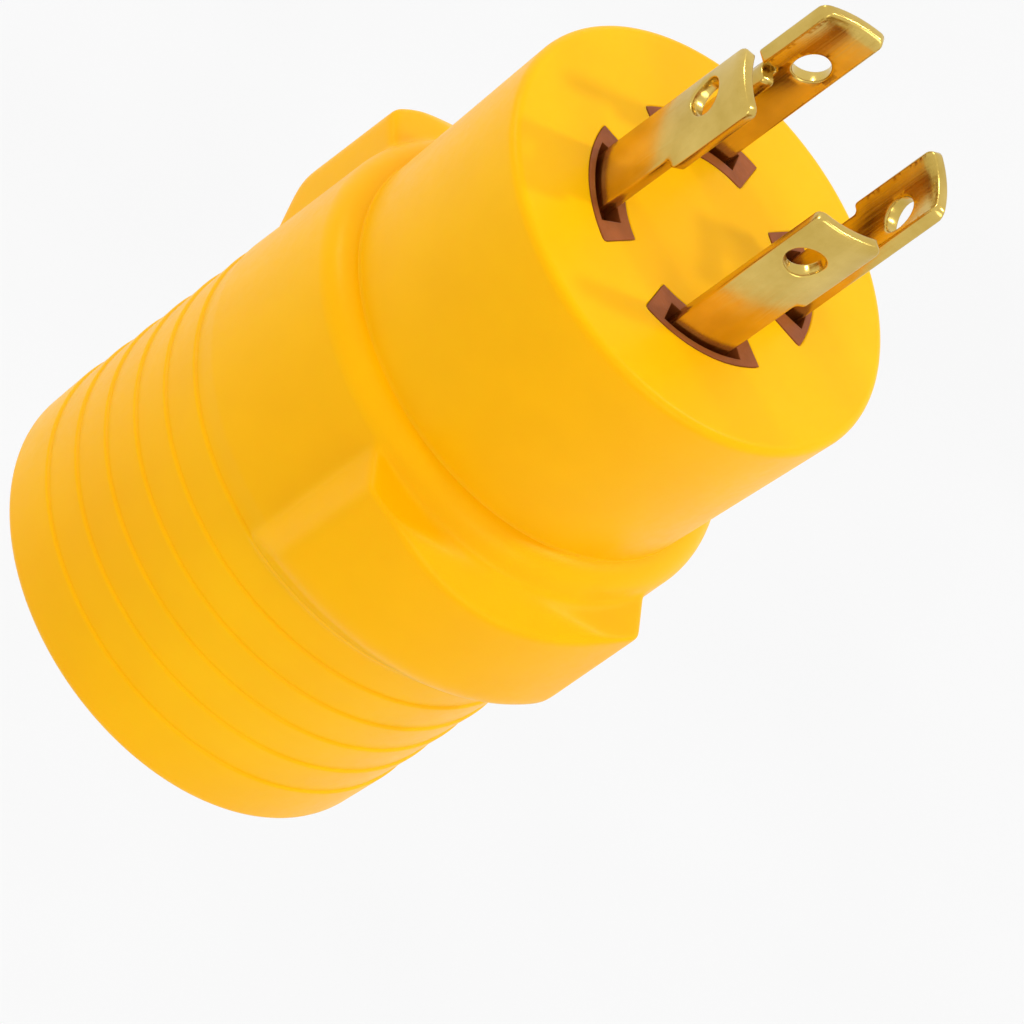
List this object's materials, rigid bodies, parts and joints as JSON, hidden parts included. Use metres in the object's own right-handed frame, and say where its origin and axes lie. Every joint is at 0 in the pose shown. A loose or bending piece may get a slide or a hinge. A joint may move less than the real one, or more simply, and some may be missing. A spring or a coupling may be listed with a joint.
{
  "type": "power adapter",
  "caption": "Compact moulded RV power adapter: round body with grip ears, locking arc-blade plug on one end and a straight-slot socket with sprung contacts on the other.",
  "frame": {"origin": "centre of the socket face, which the adapter stands on", "axes": "+Z along the body axis out through the plug blades; the two grip ears point along +Y and -Y, and the ground slot and ground blade are on the -Y side"},
  "size_m": [0.0515, 0.0602, 0.1019],
  "materials": {
    "jacket_vinyl": "satin",
    "socket_brown": "gloss",
    "plug_brown": "matte",
    "contact_copper": "satin",
    "blade_brass": "polished",
    "wire_copper": "satin",
    "screw_steel": "satin",
    "core_black": "matte",
    "wire_black": "matte",
    "wire_red": "matte",
    "wire_white": "matte",
    "wire_green": "matte"
  },
  "bodies": {
    "root": {"outer_jacket": "jacket_vinyl", "socket_carrier": "socket_brown", "contact_cover": "socket_brown", "cover_screws": "screw_steel", "contact_base_line_1": "contact_copper", "contact_base_line_2": "contact_copper", "contact_base_neutral": "contact_copper", "ground_contact": "contact_copper", "inner_core": "core_black", "plug_carrier": "plug_brown", "blade_line_1": "blade_brass", "blade_line_2": "blade_brass", "blade_neutral": "blade_brass", "blade_ground": "blade_brass", "conductor_line_1": "wire_copper", "conductor_line_2": "wire_copper", "conductor_neutral": "wire_copper", "conductor_ground": "wire_copper", "insulation_line_1": "wire_black", "insulation_line_2": "wire_red", "insulation_neutral": "wire_white", "insulation_ground": "wire_green"},
    "leaf_line_1_outer": {"leaf_line_1_outer": "contact_copper"},
    "leaf_line_1_inner": {"leaf_line_1_inner": "contact_copper"},
    "leaf_line_2_outer": {"leaf_line_2_outer": "contact_copper"},
    "leaf_line_2_inner": {"leaf_line_2_inner": "contact_copper"},
    "leaf_neutral_left": {"leaf_neutral_left": "contact_copper"},
    "leaf_neutral_right": {"leaf_neutral_right": "contact_copper"}
  },
  "joints": [
    {"name": "leaf_line_1_outer_flex", "type": "hinge", "parent": "root", "child": "leaf_line_1_outer", "pos_m": [0.01855, -0.00155, 0.0226], "axis": [0, -1, 0], "range_deg": [0, 3.5], "stiffness_Nm_per_rad": 1},
    {"name": "leaf_line_1_inner_flex", "type": "hinge", "parent": "root", "child": "leaf_line_1_inner", "pos_m": [0.01455, -0.00155, 0.0226], "axis": [0, 1, 0], "range_deg": [0, 3.5], "stiffness_Nm_per_rad": 1},
    {"name": "leaf_line_2_outer_flex", "type": "hinge", "parent": "root", "child": "leaf_line_2_outer", "pos_m": [-0.01855, -0.00155, 0.0226], "axis": [0, 1, 0], "range_deg": [0, 3.5], "stiffness_Nm_per_rad": 1},
    {"name": "leaf_line_2_inner_flex", "type": "hinge", "parent": "root", "child": "leaf_line_2_inner", "pos_m": [-0.01455, -0.00155, 0.0226], "axis": [0, -1, 0], "range_deg": [0, 3.5], "stiffness_Nm_per_rad": 1},
    {"name": "leaf_neutral_left_flex", "type": "hinge", "parent": "root", "child": "leaf_neutral_left", "pos_m": [-0.002, 0.01055, 0.0226], "axis": [0, 1, 0], "range_deg": [0, 3.5], "stiffness_Nm_per_rad": 1},
    {"name": "leaf_neutral_right_flex", "type": "hinge", "parent": "root", "child": "leaf_neutral_right", "pos_m": [0.002, 0.01055, 0.0226], "axis": [0, -1, 0], "range_deg": [0, 3.5], "stiffness_Nm_per_rad": 1}
  ]
}
